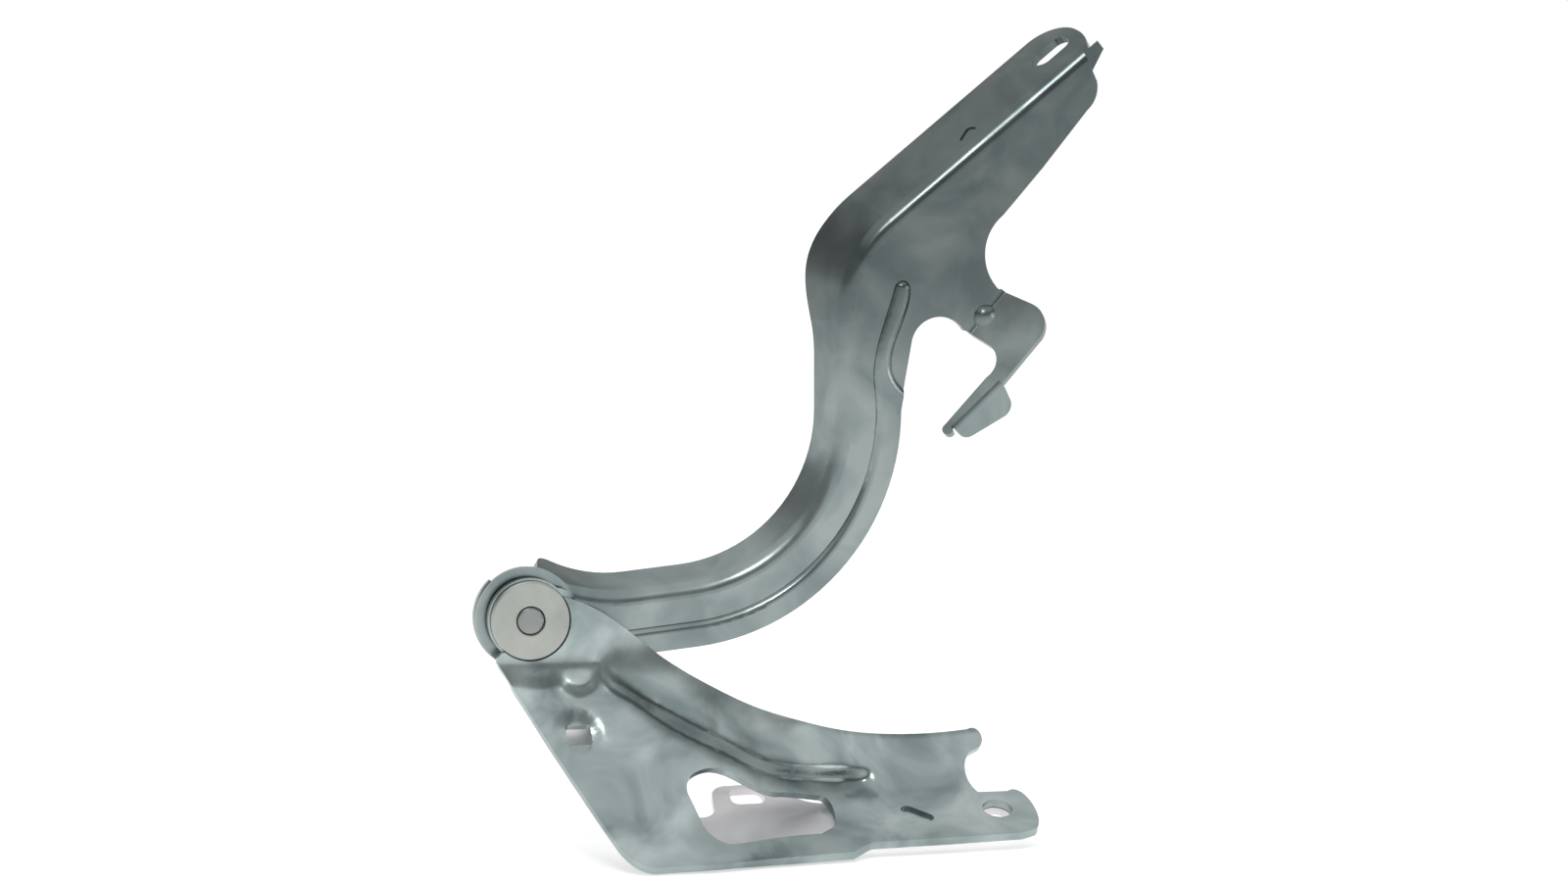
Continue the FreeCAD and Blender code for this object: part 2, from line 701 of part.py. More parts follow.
def past_step(x, z):
    """Distance into the recess from the step's edge, negative on the raised side."""
    best = None
    side = 1
    for (x0, z0), (x1, z1) in zip(STEP_LINE, STEP_LINE[1:]):
        run_x = x1 - x0
        run_z = z1 - z0
        share = ((x - x0) * run_x + (z - z0) * run_z) / (run_x ** 2 + run_z ** 2)
        share = min(1.0, max(0.0, share))
        gap = math.hypot(x - x0 - share * run_x, z - z0 - share * run_z)
        if best is None or gap < best - 1e-9:
            best = gap
            side = 1 if run_x * (z - z0) - run_z * (x - x0) < 0 else -1
    return best * side


def bracket_depth(x, z):
    return pressed_depth(x, z, ease(past_step(x, z) / size("recess_wall")))


def bracket_outline(seat):
    """Sheared outline of the bracket with the seat of the disc cut out of its upper corner."""
    upper = math.radians(41)
    lower = math.radians(237)
    middle = math.radians(319)
    seat_top = Vector(seat * math.cos(upper), 0, seat * math.sin(upper))
    seat_low = Vector(seat * math.cos(lower), 0, seat * math.sin(lower))
    seat_mid = Vector(seat * math.cos(middle), 0, seat * math.sin(middle))
    top_run = [(seat_top.x, seat_top.z), (32.8, -2.6), (46.1, -13.4), (65.8, -25.8), (79.7, -32.9),
               (95.9, -38.9), (114.9, -44.1), (131.7, -46.3), (163.1, -45.9)]

    def at(x, z):
        return Vector(x, 0, z)

    edges = [
        curve(top_run),
        arc(at(163.1, -45.9), at(168.1, -49.2), at(165.6, -52.2)),
        line(at(165.6, -52.2), at(162.1, -53.6)),
        arc(at(162.1, -53.6), at(159, -60.0), at(161.8, -66.1)),
        line(at(161.8, -66.1), at(173.0, -66.2)),
        arc(at(173.0, -66.2), at(180.1, -72.0), at(176.0, -76.0)),
        line(at(176.0, -76.0), at(171.0, -76.7)),
        line(at(171.0, -76.7), at(114.5, -77.3)),
        line(at(114.5, -77.3), at(106.5, -79.4)),
        line(at(106.5, -79.4), at(34.9, -80.2)),
        arc(at(34.9, -80.2), at(27.0, -78.0), at(22.4, -73.8)),
        curve([(22.4, -73.8), (8.8, -51.4), (-1.7, -32.9)]),
        line(at(-1.7, -32.9), at(-12.5, -14.4)),
        arc(at(-12.5, -14.4), at(-11.6, -12.3), seat_low),
        arc(seat_low, seat_mid, seat_top),
    ]
    window = [
        curve([(49.9, -58.5), (51.6, -54.2), (56.0, -52.3), (61.5, -52.0), (67.5, -53.8), (87.9, -62.2)]),
        line(at(87.9, -62.2), at(101.7, -64.6)),
        arc(at(101.7, -64.6), at(106.0, -69.0), at(102.3, -73.7)),
        line(at(102.3, -73.7), at(97.9, -74.8)),
        line(at(97.9, -74.8), at(65.1, -74.6)),
        arc(at(65.1, -74.6), at(58.5, -73.3), at(53.2, -68.5)),
        line(at(53.2, -68.5), at(49.9, -58.5)),
    ]
    return Part.Face([Part.Wire(edges), Part.Wire(window)])


def build_bracket():
    gauge = size("bracket_gauge")
    seat = size("disc_diameter") / 2 + size("seat_clearance")
    across = steps(-22, 188, 2.4)
    up = steps(-88, 16, 2.4)
    shape = pressed_sheet(bracket_depth, across, up, bracket_outline(seat - 1.2), gauge)
    overlap = 0.5
    lug = rod(size("lug_radius"), BACK * (lug_front - overlap), BACK * lug_back)
    shape = shape.fuse([lug])
    shape = shape.cut(rod(seat, BACK * -2, BACK * lug_front))
    shape = shape.cut(rod(tenon_radius, BACK * (lug_front - 3), BACK * (lug_back + 3)))
    slope = math.radians(size("foot_slope"))
    ear_way = Vector(0, -math.sin(slope), math.cos(slope))
    ear_hole = Vector(166.1, EAR_POINT[0] - 11.2, EAR_POINT[1] - 4.6)
    shape = shape.cut(rod(size("ear_hole_diameter") / 2, ear_hole - ear_way * 12, ear_hole + ear_way * 12))
    square = rounded_prism(size("square_hole"), size("square_hole") * 0.9, 2.2, Vector(13.4, -14.3, -38.5),
                           Vector(1, 0, 0), Vector(0, -0.76, 0.65), 16)
    shape = shape.cut(square)
    bean_depth = pressed_depth(135.6, -70.8, 0.0)
    bean = rounded_prism(13.0, 5.0, 2.5, Vector(135.6, bean_depth, -70.8) - ear_way * 0.1,
                         Vector(8.3, -7, -3), ear_way, 2.4)
    shape = shape.cut(bean)
    return one_solid(shape.removeSplitter())


bracket = add_shape("body_bracket", build_bracket())


# Foot plate: a second plate lying under the bracket's ear and lower edge, with an upright at its rear

def foot_plate():
    slope = size("foot_slope")
    gauge = size("foot_gauge")
    normal = Vector(0, -math.sin(math.radians(slope)), math.cos(math.radians(slope)))
    body = doc.addObject("PartDesign::Body", "foot_plate")
    body.Label = "foot_plate"
    under = size("bracket_gauge") + size("foot_gap")
    body.Placement = Placement(Vector(150, EAR_POINT[0], EAR_POINT[1]) - normal * under,
                               Rotation(Vector(1, 0, 0), slope))
    planes = {item.Role: item for item in body.Origin.OriginFeatures}

    def sketch_on(role, name, shift=0.0):
        sketch = body.newObject("Sketcher::SketchObject", name)
        sketch.AttachmentSupport = [(planes[role], "")]
        sketch.MapMode = "FlatFace"
        sketch.AttachmentOffset = Placement(Vector(0, 0, shift), Rotation())
        return sketch

    def spot(x, y):
        return Vector(x, y, 0)

    blank = sketch_on("XY_Plane", "foot_blank")
    run = [
        ("line", (-123.5, 9.0), (-117.5, -22)),
        ("arc", (-117.5, -22), (-115.8, -25.6), (-112, -27)),
        ("line", (-112, -27), (-50, -27)),
        ("line", (-50, -27), (-40, -22.4)),
        ("line", (-40, -22.4), (16.1, -22.1)),
        ("arc", (16.1, -22.1), (26.1, -12.1), (16.1, -2.1)),
        ("line", (16.1, -2.1), (-20, 2.4)),
        ("line", (-20, 2.4), (-41.8, 2.4)),
        ("arc", (-41.8, 2.4), (-52.6, 4.4), (-57.2, 10.6)),
        ("arc", (-57.2, 10.6), (-61.0, 15.4), (-69.7, 16.6)),
        ("line", (-69.7, 16.6), (-78.0, 16.3)),
        ("arc", (-78.0, 16.3), (-83.2, 14.6), (-85.1, 10.1)),
        ("line", (-85.1, 10.1), (-86.3, 1.2)),
        ("arc", (-86.3, 1.2), (-88.9, -2.6), (-93.1, -3.3)),
        ("line", (-93.1, -3.3), (-99.0, -3.3)),
        ("arc", (-99.0, -3.3), (-102.0, -1.8), (-103.5, 1.0)),
        ("line", (-103.5, 1.0), (-104.0, 9.0)),
        ("line", (-104.0, 9.0), (-123.5, 9.0)),
    ]
    for number, item in enumerate(run):
        spots = [spot(*pair) for pair in item[1:]]
        curve_item = Part.LineSegment(*spots) if item[0] == "line" else Part.Arc(*spots)
        blank.addGeometry(curve_item, False)
        blank.addConstraint(Sketcher.Constraint("Block", number))
    pad = body.newObject("PartDesign::Pad", "foot_sheet")
    pad.Profile = blank
    pad.Reversed = True
    pad.setExpression("Length", "sizes.foot_gauge")
    doc.recompute()

    turn = math.radians(90 - slope)
    inner = gauge
    outer = inner + gauge
    rise = 30.5
    side = sketch_on("YZ_Plane", "foot_upright_section", -144)
    start = Vector(9.0, 0, 0)
    centre = start + Vector(0, inner, 0)

    def on_bend(radius, share):
        return centre + Vector(math.sin(turn * share), -math.cos(turn * share), 0) * radius

    up_way = Vector(math.cos(turn), math.sin(turn), 0)
    front_run = [on_bend(inner, 0), on_bend(inner, 0.5), on_bend(inner, 1)]
    back_run = [on_bend(outer, 1), on_bend(outer, 0.5), on_bend(outer, 0)]
    items = [
        Part.Arc(*front_run),
        Part.LineSegment(front_run[2], front_run[2] + up_way * rise),
        Part.LineSegment(front_run[2] + up_way * rise, back_run[0] + up_way * rise),
        Part.LineSegment(back_run[0] + up_way * rise, back_run[0]),
        Part.Arc(*back_run),
        Part.LineSegment(back_run[2], front_run[0]),
    ]
    for number, item in enumerate(items):
        side.addGeometry(item, False)
        side.addConstraint(Sketcher.Constraint("Block", number))
    upright = body.newObject("PartDesign::Pad", "foot_upright")
    upright.Profile = side
    upright.Length = 40
    doc.recompute()

    lean = sketch_on("XZ_Plane", "foot_upright_sides")
    sides = (
        ((-146, -5), (-123.5, -5), (-123.5, 0.5), (-128.0, 6.0), (-141.5, 21), (-142.5, 27), (-142.5, 42), (-146, 42)),
        ((-100, 0.5), (-104.0, 0.5), (-106.0, 6.0), (-122, 22), (-124.5, 27), (-124.5, 42), (-100, 42)),
    )
    number = 0
    for run in sides:
        for here, following in zip(run, run[1:] + run[:1]):
            lean.addGeometry(Part.LineSegment(spot(*here), spot(*following)), False)
            lean.addConstraint(Sketcher.Constraint("Block", number))
            number += 1
    trimmed = body.newObject("PartDesign::Pocket", "foot_upright_trim")
    trimmed.Profile = lean
    trimmed.Type = 1
    trimmed.Midplane = True
    doc.recompute()

    holes = sketch_on("XY_Plane", "foot_openings")
    length = size("foot_slot_length")
    width = size("foot_slot_width")
    corner = 3.0
    middle = spot(-72.6, 9.0)
    centre_u = middle.x
    centre_v = middle.y
    number = 0
    corners = ((1, 1, 0), (-1, 1, 90), (-1, -1, 180), (1, -1, 270))
    arcs = []
    for su, sv, begin in corners:
        cu = centre_u + su * (length / 2 - corner)
        cv = centre_v + sv * (width / 2 - corner)
        arcs.append([spot(cu + corner * math.cos(math.radians(begin + extra)),
                          cv + corner * math.sin(math.radians(begin + extra))) for extra in (0, 45, 90)])
    for here, following in zip(arcs, arcs[1:] + arcs[:1]):
        holes.addGeometry(Part.Arc(*here), False)
        holes.addConstraint(Sketcher.Constraint("Block", number))
        holes.addGeometry(Part.LineSegment(here[2], following[0]), False)
        holes.addConstraint(Sketcher.Constraint("Block", number + 1))
        number += 2
    ear = holes.addGeometry(Part.Circle(spot(16.1, -12.1), Vector(0, 0, 1), 5.5), False)
    holes.addConstraint(Sketcher.Constraint("DistanceX", -1, 1, ear, 3, 16.1))
    holes.addConstraint(Sketcher.Constraint("DistanceY", ear, 3, -1, 1, 12.1))
    ring = holes.addConstraint(Sketcher.Constraint("Diameter", ear, size("ear_hole_diameter")))
    holes.setExpression("Constraints[%d]" % ring, "sizes.ear_hole_diameter")
    pocket = body.newObject("PartDesign::Pocket", "foot_cut")
    pocket.Profile = holes
    pocket.Type = 1
    pocket.Midplane = True
    body.Tip = pocket
    doc.recompute()
    return body


foot = foot_plate()

nodes = [disc, rivet, spacer, bush, rear_washer, arm, bracket, foot]
doc.recompute()
for item in doc.Objects:
    if "Invalid" in item.State or "Error" in item.State:
        raise ValueError("%s did not compute" % item.Label)
for node in nodes:
    if node.Shape.isNull() or not node.Shape.isValid() or len(node.Shape.Solids) != 1:
        raise ValueError("%s has no sound solid" % node.Label)

os.makedirs("parts", exist_ok=True)
for node in nodes:
    node.Shape.exportStep("parts/%s.step" % node.Label)
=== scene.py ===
import math

import bmesh
import bpy
import numpy as np
from mathutils import Matrix, Vector


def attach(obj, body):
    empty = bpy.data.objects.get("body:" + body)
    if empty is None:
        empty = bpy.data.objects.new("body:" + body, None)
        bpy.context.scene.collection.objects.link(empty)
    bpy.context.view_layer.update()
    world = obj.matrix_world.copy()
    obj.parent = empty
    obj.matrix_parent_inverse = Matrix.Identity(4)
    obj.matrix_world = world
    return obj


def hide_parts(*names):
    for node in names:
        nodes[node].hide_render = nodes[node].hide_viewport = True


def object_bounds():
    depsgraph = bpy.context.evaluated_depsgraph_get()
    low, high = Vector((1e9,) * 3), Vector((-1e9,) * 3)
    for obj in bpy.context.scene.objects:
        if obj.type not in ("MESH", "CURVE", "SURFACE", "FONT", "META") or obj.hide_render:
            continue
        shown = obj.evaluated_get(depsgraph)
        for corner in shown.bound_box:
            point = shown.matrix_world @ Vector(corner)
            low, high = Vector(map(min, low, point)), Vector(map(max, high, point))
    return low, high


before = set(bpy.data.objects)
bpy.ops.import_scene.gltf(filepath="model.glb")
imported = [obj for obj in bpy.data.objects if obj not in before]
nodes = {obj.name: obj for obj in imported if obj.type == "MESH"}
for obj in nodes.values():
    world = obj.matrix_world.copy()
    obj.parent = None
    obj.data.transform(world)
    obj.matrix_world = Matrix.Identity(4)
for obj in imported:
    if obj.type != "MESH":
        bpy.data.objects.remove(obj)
cad_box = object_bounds()
scene = bpy.context.scene
scene.view_settings.view_transform = "Standard"

# Camera: the photograph's viewing angle, 14.4 degrees round and 5 above the horizon

CAMERA_SPOT = Vector((-0.2084, -1.1749, 0.1687))
CAMERA_AZIMUTH = math.radians(14.4)
CAMERA_ELEVATION = math.radians(5.0)
LENS_MM = 77.14
SENSOR_MM = 36.0


def add_camera():
    data = bpy.data.cameras.new("camera")
    data.sensor_width = SENSOR_MM
    data.lens = LENS_MM
    data.clip_start = 0.01
    data.clip_end = 50
    ahead = Vector((
        math.sin(CAMERA_AZIMUTH) * math.cos(CAMERA_ELEVATION),
        math.cos(CAMERA_AZIMUTH) * math.cos(CAMERA_ELEVATION),
        -math.sin(CAMERA_ELEVATION),
    ))
    right = Vector((math.cos(CAMERA_AZIMUTH), -math.sin(CAMERA_AZIMUTH), 0))
    up = right.cross(ahead)
    turn = Matrix((right, up, -ahead)).transposed()
    camera = bpy.data.objects.new("camera", data)
    camera.matrix_world = Matrix.Translation(CAMERA_SPOT) @ turn.to_4x4()
    scene.collection.objects.link(camera)
    scene.camera = camera


add_camera()


# Shader helpers

def new_material(name):
    material = bpy.data.materials.new(name)
    material.use_nodes = True
    tree = material.node_tree
    shader = tree.nodes["Principled BSDF"]
    return material, tree, shader


def noise(tree, place, scale, detail, distortion=0.0):
    """Fractal noise in object coordinates, its output from 0 to 1."""
    node = tree.nodes.new("ShaderNodeTexNoise")
    node.inputs["Scale"].default_value = scale
    node.inputs["Detail"].default_value = detail
    node.inputs["Distortion"].default_value = distortion
    tree.links.new(place, node.inputs["Vector"])
    return node.outputs["Fac"]


def ramp(tree, source, low, high, low_spot, high_spot):
    """Colour ramp between two greys or colours."""
    node = tree.nodes.new("ShaderNodeValToRGB")
    first, second = node.color_ramp.elements
    first.position = low_spot
    second.position = high_spot
    first.color = low
    second.color = high
    tree.links.new(source, node.inputs["Fac"])
    return node.outputs["Color"]


def grey(value):
    return (value, value, value, 1.0)


def scaled(tree, colour, share):
    """Colour times the number that a socket gives."""
    scale = tree.nodes.new("ShaderNodeVectorMath")
    scale.operation = "SCALE"
    tree.links.new(colour, scale.inputs[0])
    tree.links.new(share, scale.inputs["Scale"])
    return scale.outputs[0]


def by_height(tree, place, colour, low, high, least):
    """Colour that falls to a share of itself between two heights."""
    split = tree.nodes.new("ShaderNodeSeparateXYZ")
    tree.links.new(place, split.inputs[0])
    share = tree.nodes.new("ShaderNodeMapRange")
    share.interpolation_type = "SMOOTHSTEP"
    tree.links.new(split.outputs["Z"], share.inputs["Value"])
    for socket, level in (("From Min", low), ("From Max", high), ("To Min", 1.0), ("To Max", least)):
        share.inputs[socket].default_value = level
    return scaled(tree, colour, share.outputs["Result"])


def by_attribute(tree, colour, name, loss):
    """Colour that loses a share of itself where the mesh attribute is 1."""
    known = tree.nodes.new("ShaderNodeAttribute")
    known.attribute_name = name
    share = tree.nodes.new("ShaderNodeMath")
    share.operation = "MULTIPLY_ADD"
    tree.links.new(known.outputs["Fac"], share.inputs[0])
    share.inputs[1].default_value = -loss
    share.inputs[2].default_value = 1.0
    return scaled(tree, colour, share.outputs[0])


# Plating. Each noise is its scale, detail and distortion, and each span is where its ramp starts and ends

CLOUD = (38.0, 3.0, 0.6)
CLOUD_SPAN = (0.34, 0.66)
HAZE = (55.0, 4.0, 0.3)
HAZE_SPAN = (0.3, 0.7)
FINE_GRAIN = (900.0, 3.0)
WIDE_WAVE = (70.0, 2.0)
WAVE_OVER_GRAIN = 20.0
ROLLED_SHEEN = 0.25
BUMP_STRENGTH = 0.35
SHEET_GRAIN = 0.000008
TURNED_GRAIN = 0.0000048


def plated_steel(name, dark, light, rough, grain=SHEET_GRAIN, painted_reflection_above=None, painted_slope_shade=0.0):
    """Zinc-plated steel: cloudy passivated colour, soft sheen and faint rolling texture, where asked with a
    painted dark reflection that darkens it with height and painted shade where the mesh's slope attribute
    is 1.
    """
    material, tree, shader = new_material(name)
    place = tree.nodes.new("ShaderNodeTexCoord").outputs["Object"]
    colour = ramp(tree, noise(tree, place, *CLOUD), dark, light, *CLOUD_SPAN)
    # Painted dark reflection: the colour falls with height
    if painted_reflection_above:
        colour = by_height(tree, place, colour, *painted_reflection_above)
    # Painted shade: the colour darkens where the mesh's slope attribute is 1
    if painted_slope_shade:
        colour = by_attribute(tree, colour, "slope", painted_slope_shade)
    tree.links.new(colour, shader.inputs["Base Color"])
    shader.inputs["Metallic"].default_value = 1.0
    smoothest, roughest = rough
    spread = ramp(tree, noise(tree, place, *HAZE), grey(smoothest), grey(roughest), *HAZE_SPAN)
    tree.links.new(spread, shader.inputs["Roughness"])
    shader.inputs["Anisotropic"].default_value = ROLLED_SHEEN
    bump = tree.nodes.new("ShaderNodeBump")
    bump.inputs["Strength"].default_value = BUMP_STRENGTH
    bump.inputs["Distance"].default_value = grain
    both = tree.nodes.new("ShaderNodeMath")
    both.operation = "MULTIPLY_ADD"
    tree.links.new(noise(tree, place, *WIDE_WAVE), both.inputs[0])
    both.inputs[1].default_value = WAVE_OVER_GRAIN
    tree.links.new(noise(tree, place, *FINE_GRAIN), both.inputs[2])
    tree.links.new(both.outputs[0], bump.inputs["Height"])
    tree.links.new(bump.outputs["Normal"], shader.inputs["Normal"])
    return material


ZINC_DARK = (0.20, 0.25, 0.25, 1)
ZINC_LIGHT = (0.42, 0.485, 0.48, 1)
ARM_DARK = (0.17, 0.21, 0.212, 1)
ARM_LIGHT = (0.29, 0.335, 0.33, 1)
FOOT_DARK = (0.68, 0.67, 0.685, 1)
FOOT_LIGHT = (0.82, 0.805, 0.82, 1)
DISC_DARK = (0.33, 0.35, 0.325, 1)
DISC_LIGHT = (0.43, 0.445, 0.42, 1)
RIVET_DARK = (0.22, 0.24, 0.235, 1)
RIVET_LIGHT = (0.29, 0.31, 0.30, 1)
LINER = (0.035, 0.035, 0.035, 1)

# Roughness from the smoothest to the roughest place of a surface

PRESSED_ROUGH = (0.17, 0.31)
FOOT_ROUGH = (0.35, 0.5)
WASHER_ROUGH = (0.38, 0.5)
RIVET_ROUGH = (0.3, 0.42)
LINER_ROUGH = 0.6

# Painted dark reflection and painted shade. The arm's colour falls between two heights in metres to the
# third number's share of itself, a painted dark reflection on its upper part, and the slope under the
# bracket's rail loses its own share of colour as painted shade

ARM_PAINTED_REFLECTION = (0.06, 0.13, 0.55)
PAINTED_SLOPE_SHADE = 0.5


def bush_liner():
    material, _, shader = new_material("bush_liner")
    shader.inputs["Base Color"].default_value = LINER
    shader.inputs["Roughness"].default_value = LINER_ROUGH
    return material


FINISHES = {
    "body_bracket": plated_steel("bracket_zinc", ZINC_DARK, ZINC_LIGHT, PRESSED_ROUGH,
                                 painted_slope_shade=PAINTED_SLOPE_SHADE),
    "hinge_arm": plated_steel("arm_zinc", ARM_DARK, ARM_LIGHT, PRESSED_ROUGH, painted_reflection_above=ARM_PAINTED_REFLECTION),
    "foot_plate": plated_steel("foot_zinc", FOOT_DARK, FOOT_LIGHT, FOOT_ROUGH),
    "pivot_disc": plated_steel("disc_zinc", DISC_DARK, DISC_LIGHT, WASHER_ROUGH, TURNED_GRAIN),
    "pivot_rivet": plated_steel("rivet_zinc", RIVET_DARK, RIVET_LIGHT, RIVET_ROUGH, TURNED_GRAIN),
    "spacer_washer": plated_steel("spacer_zinc", DISC_DARK, DISC_LIGHT, WASHER_ROUGH),
    "rear_washer": plated_steel("rear_washer_zinc", DISC_DARK, DISC_LIGHT, WASHER_ROUGH),
    "pivot_bush": bush_liner(),
}

for name, node in nodes.items():
    node.data.materials.clear()
    node.data.materials.append(FINISHES[name])


# Edges of the turned pieces are slightly broken, so they catch the light

TURNED_PIECES = ("pivot_disc", "pivot_rivet", "spacer_washer", "rear_washer", "pivot_bush")
EDGE_BREAK = 0.0003
EDGE_ANGLE = math.radians(40)
JOIN_WITHIN = 0.000002


def break_edges(piece):
    join = piece.modifiers.new("joined_corners", "WELD")
    join.merge_threshold = JOIN_WITHIN
    bevel = piece.modifiers.new("broken_edges", "BEVEL")
    bevel.width = EDGE_BREAK
    bevel.segments = 2
    bevel.limit_method = "ANGLE"
    bevel.angle_limit = EDGE_ANGLE
    bevel.use_clamp_overlap = False
    bevel.harden_normals = True


for name in TURNED_PIECES:
    break_edges(nodes[name])


# Bracket sheet: the bracket's own mesh with a softer, wider relief. Lengths in millimetres

MM = 0.001
SHARP_ANGLE = math.radians(38)

# Top edge of the leaning wall, its bend and its lean back per millimetre of drop

TOP_EDGE = ((-20, 16), (11, 10), (33, -2.5), (46, -13.4), (66, -26), (80, -33), (96, -39),
            (115, -44.3), (132, -46.5), (144, -46.8), (163, -46), (190, -45))
WALL_TOP = -17.0
WALL_BLEND = 8.0
BEND_REACH = 4.0
SOFTER_REACH = 9.0
WALL_LEAN = 0.85
MORE_LEAN = 0.2

# Ear: a point of its plane and the plane's slope. Low ridge: its line, lean, rounding and upper end

EAR_POINT = (-16.8, -66.0)
EAR_SLOPE = math.radians(22.2)
RIDGE = ((25.2, -39.9), (54.5, -77.0))
RIDGE_LEAN = 0.08
RIDGE_BLEND = 3.0
RIDGE_TOP = -32.0
RIDGE_FADE = 20.0

# Slope under the top rail: its upper edge, how far its foot is pushed back, and the disc's flat seat

SLOPE_TOP = ((27.6, -16.8), (44, -28.2), (56.8, -36), (70.5, -42.7), (82.5, -49.4), (94.3, -52.1),
             (120, -54.9))
SLOPE_DEPTH = 3.0
SEAT_RADIUS = 18.0
SEAT_FADE = 7.0

# Where each change holds: its start, the length of its rise, its end and the length of its fall.
# A span runs along X and a drop runs down from the slope's upper edge

BEND_SPAN = (20, 12, 80, 25)
LEAN_SPAN = (30, 50, 95, 45)
TROUGH_SPAN = (34, 20, 108, 16)
TROUGH_DROP = (-3, 14, 15, 20)
DARK_SPAN = (26, 12, 114, 10)
DARK_DROP = (-1, 4, 7, 6)

# Square hole, and the dish round it

HOLE_MIDDLE = np.array((13.4, -14.3, -38.5))
HOLE_AXIS = np.array((0.0, -0.76, 0.65))
HOLE_SHIFT = np.array((1.2, 0.0, -0.3))
HOLE_SHARE = 0.70
HOLE_SEARCH = 9.0
DISH_DEPTH = 1.3
DISH_FLOOR = 7.0
DISH_FADE = 4.0

# Free side of the lug, in degrees round the pivot, and its rim before and after

LUG_TURN = (38, 10, 228, 10)
LUG_REACH = 17.2
SLIM_RADIUS = 15.1

# Edges longer than the first number are halved, within the second of the square hole

FINER_EDGES = ((3.0, 1000), (1.6, 14), (1.0, 12))


def ease(value):
    """Smooth step from 0 to 1."""
    held = np.clip(value, 0, 1)
    return held ** 3 * (held * (6 * held - 15) + 10)


def between(value, start, rise, end, fall):
    """1 between two places, with an eased rise after the first and fall after the second."""
    return ease((value - start) / rise) * (1 - ease((value - end) / fall))


def soft_min(first, second, blend):
    """Lesser of two values, rounded where they meet."""
    overlap = np.maximum(blend - np.abs(first - second), 0) / blend
    return np.minimum(first, second) - overlap ** 3 * blend / 6


def soft_ramp(value, blend):
    """0 below zero and the value itself above it, rounded over the blend."""
    rounded = (value + blend) ** 2 / (4 * blend)
    return np.where(value <= -blend, 0.0, np.where(value >= blend, value, rounded))


def plain_depth(x, z, soft):
    """Front of the sheet without its recess: soft spreads the upper bend and adds the low ridge."""
    level = soft_min(np.interp(x, *zip(*TOP_EDGE)), WALL_TOP, WALL_BLEND)
    spread = BEND_REACH + soft * SOFTER_REACH * between(x, *BEND_SPAN)
    lean = WALL_LEAN + MORE_LEAN * between(x, *LEAN_SPAN)
    (x0, z0), (x1, z1) = RIDGE
    beside = ((z1 - z0) * (x - x0) - (x1 - x0) * (z - z0)) / math.hypot(x1 - x0, z1 - z0)
    ridge = RIDGE_LEAN * soft_ramp(beside, RIDGE_BLEND) * ease((RIDGE_TOP - z) / RIDGE_FADE)
    wall = -lean * soft_ramp(level - z, spread) - soft * ridge
    ear = EAR_POINT[0] + (z - EAR_POINT[1]) / math.tan(EAR_SLOPE)
    return soft_min(wall, ear, WALL_BLEND)


def under_slope_top(x, z):
    """How far a point lies below the slope's upper edge."""
    return np.polyval(np.polyfit(*zip(*SLOPE_TOP), deg=3), x) - z


def painted_shade_share(points):
    """1 on the slope under the top rail and 0 away from it, the mask of its painted shade."""
    x = points[:, 0]
    return between(x, *DARK_SPAN) * between(under_slope_top(x, points[:, 2]), *DARK_DROP)


def soften_bends(points):
    """Spread the bend and the slope under the top rail and add the low ridge, away from the disc's seat."""
    x = points[:, 0]
    z = points[:, 2]
    free = ease((np.hypot(x, z) - SEAT_RADIUS) / SEAT_FADE)
    points[:, 1] += free * (plain_depth(x, z, 1) - plain_depth(x, z, 0))
    trough = between(x, *TROUGH_SPAN) * between(under_slope_top(x, z), *TROUGH_DROP)
    points[:, 1] += SLOPE_DEPTH * trough


def dish_hole(points):
    """Draw the square hole in to its real size, at the bottom of a shallow dish."""
    gap = points - HOLE_MIDDLE
    along = gap @ HOLE_AXIS
    beside = gap - along[:, None] * HOLE_AXIS
    reach = np.linalg.norm(beside, axis=1)
    near = np.abs(along) < HOLE_SEARCH
    inner = (near * (1 - ease((reach - DISH_FLOOR) / DISH_FADE)))[:, None]
    points += inner * (HOLE_SHIFT - (1 - HOLE_SHARE) * beside - DISH_DEPTH * HOLE_AXIS)


def slim_lug(points):
    """Bring the free side of the lug close to the disc."""
    reach = np.hypot(points[:, 0], points[:, 2])
    turn = np.degrees(np.arctan2(points[:, 2], points[:, 0])) % 360
    rim = (reach > SLIM_RADIUS) & (reach < LUG_REACH)
    share = 1 - between(turn, *LUG_TURN) * (1 - SLIM_RADIUS / np.maximum(reach, SLIM_RADIUS))
    points[rim, 0] *= share[rim]
    points[rim, 2] *= share[rim]


def finer_mesh(source):
    """Copy of a mesh with its corners joined, its long edges halved and triangles only."""
    fine = bmesh.new()
    fine.from_mesh(source)
    bmesh.ops.remove_doubles(fine, verts=fine.verts, dist=JOIN_WITHIN)
    hole = Vector(HOLE_MIDDLE) * MM
    for longest, reach in FINER_EDGES:
        cut = [edge for edge in fine.edges if edge.calc_length() > longest * MM
               and (edge.verts[0].co - hole).length < reach * MM]
        bmesh.ops.subdivide_edges(fine, edges=cut, cuts=1)
    bmesh.ops.triangulate(fine, faces=fine.faces[:])
    points = np.array([vertex.co for vertex in fine.verts]) / MM
    faces = [[vertex.index for vertex in face.verts] for face in fine.faces]
    fine.free()
    return points, faces


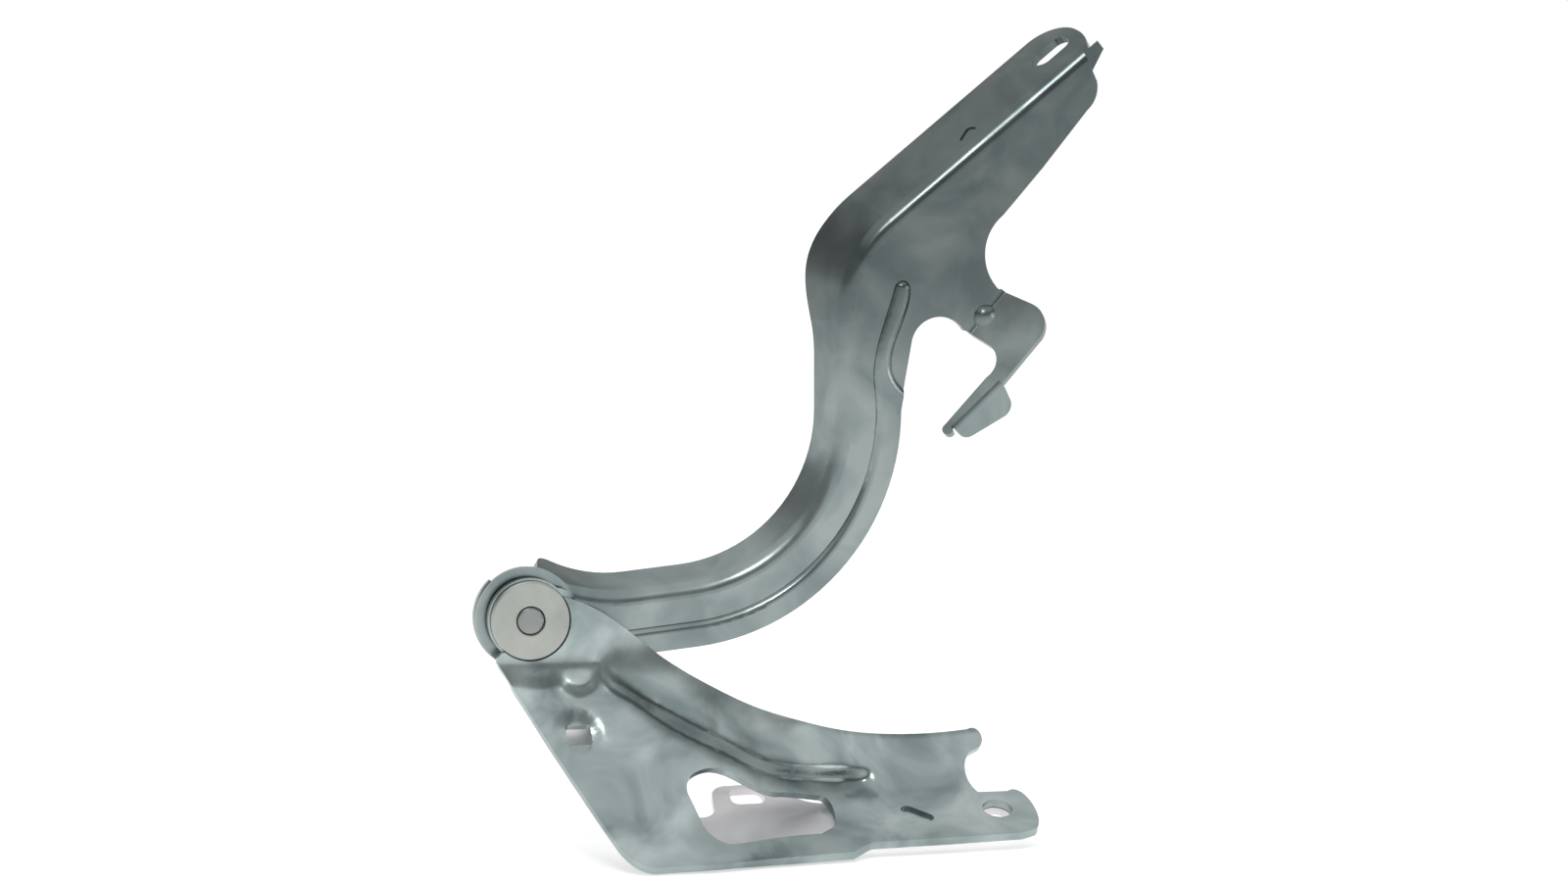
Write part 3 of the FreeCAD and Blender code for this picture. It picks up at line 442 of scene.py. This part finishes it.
def bracket_sheet():
    points, faces = finer_mesh(nodes["body_bracket"].data)
    # Mask of the painted shade on the slope under the top rail, kept as the mesh's slope attribute
    slope = painted_shade_share(points)
    soften_bends(points)
    dish_hole(points)
    slim_lug(points)
    mesh = bpy.data.meshes.new("bracket_sheet")
    mesh.from_pydata(points * MM, [], faces)
    mesh.attributes.new("slope", "FLOAT", "POINT").data.foreach_set("value", slope)
    mesh.shade_smooth()
    mesh.set_sharp_from_angle(angle=SHARP_ANGLE)
    mesh.materials.append(FINISHES["body_bracket"])
    piece = bpy.data.objects.new("bracket_sheet", mesh)
    scene.collection.objects.link(piece)
    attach(piece, "bracket")
    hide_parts("body_bracket")


bracket_sheet()


# Floor, sky and lamps

FLOOR_GAP = 0.0005
FLOOR_REACH = 12.0
FLOOR_GREY = 0.86
FLOOR_LIFT = 0.5
SKY_BANDS = ((0.20, 1.0), (0.35, 0.36), (0.60, 0.36), (0.78, 0.97))
LAMP_AIM = Vector((0.09, 0.0, 0.05))


def add_floor():
    """Pale paper that looks white straight on, in reflections and through clear things."""
    low = cad_box[0][2] - FLOOR_GAP
    corners = [(x * FLOOR_REACH, y * FLOOR_REACH, low) for x, y in ((-1, -1), (1, -1), (1, 1), (-1, 1))]
    mesh = bpy.data.meshes.new("floor")
    mesh.from_pydata(corners, [], [(0, 1, 2, 3)])
    floor = bpy.data.objects.new("floor", mesh)
    scene.collection.objects.link(floor)
    material, tree, shader = new_material("floor_paper")
    shader.inputs["Base Color"].default_value = grey(FLOOR_GREY)
    shader.inputs["Roughness"].default_value = 1.0
    shader.inputs["Specular IOR Level"].default_value = 0.0
    shader.inputs["Emission Color"].default_value = grey(1.0)
    rays = tree.nodes.new("ShaderNodeLightPath")
    seen = rays.outputs["Is Camera Ray"]
    for other in ("Is Glossy Ray", "Is Transmission Ray"):
        either = tree.nodes.new("ShaderNodeMath")
        either.operation = "MAXIMUM"
        tree.links.new(seen, either.inputs[0])
        tree.links.new(rays.outputs[other], either.inputs[1])
        seen = either.outputs[0]
    lift = tree.nodes.new("ShaderNodeMath")
    lift.operation = "MULTIPLY"
    lift.inputs[1].default_value = FLOOR_LIFT
    tree.links.new(seen, lift.inputs[0])
    tree.links.new(lift.outputs[0], shader.inputs["Emission Strength"])
    mesh.materials.append(material)


add_floor()


def add_sky():
    """Sky by height: white at the horizon, a darker band above it and a bright top."""
    world = bpy.data.worlds.new("sky")
    scene.world = world
    world.use_nodes = True
    tree = world.node_tree
    place = tree.nodes.new("ShaderNodeTexCoord").outputs["Generated"]
    split = tree.nodes.new("ShaderNodeSeparateXYZ")
    tree.links.new(place, split.inputs[0])
    band = tree.nodes.new("ShaderNodeValToRGB")
    band.color_ramp.interpolation = "EASE"
    first, last = band.color_ramp.elements
    first.color = grey(1.0)
    last.color = grey(1.0)
    for spot, level in SKY_BANDS:
        band.color_ramp.elements.new(spot).color = grey(level)
    tree.links.new(split.outputs["Z"], band.inputs["Fac"])
    tree.links.new(band.outputs["Color"], tree.nodes["Background"].inputs["Color"])


add_sky()


def add_lamp(name, spot, side, power):
    """Square lamp aimed at the middle of the hinge."""
    data = bpy.data.lights.new(name, "AREA")
    data.shape = "SQUARE"
    data.size = side
    data.energy = power
    lamp = bpy.data.objects.new(name, data)
    aim = (LAMP_AIM - Vector(spot)).to_track_quat("-Z", "Y")
    lamp.matrix_world = Matrix.Translation(Vector(spot)) @ aim.to_matrix().to_4x4()
    scene.collection.objects.link(lamp)


add_lamp("key_left", spot=(-0.37, -1.02, 1.52), side=0.42, power=6)
add_lamp("fill_right", spot=(1.4, -0.9, 0.5), side=0.8, power=3)
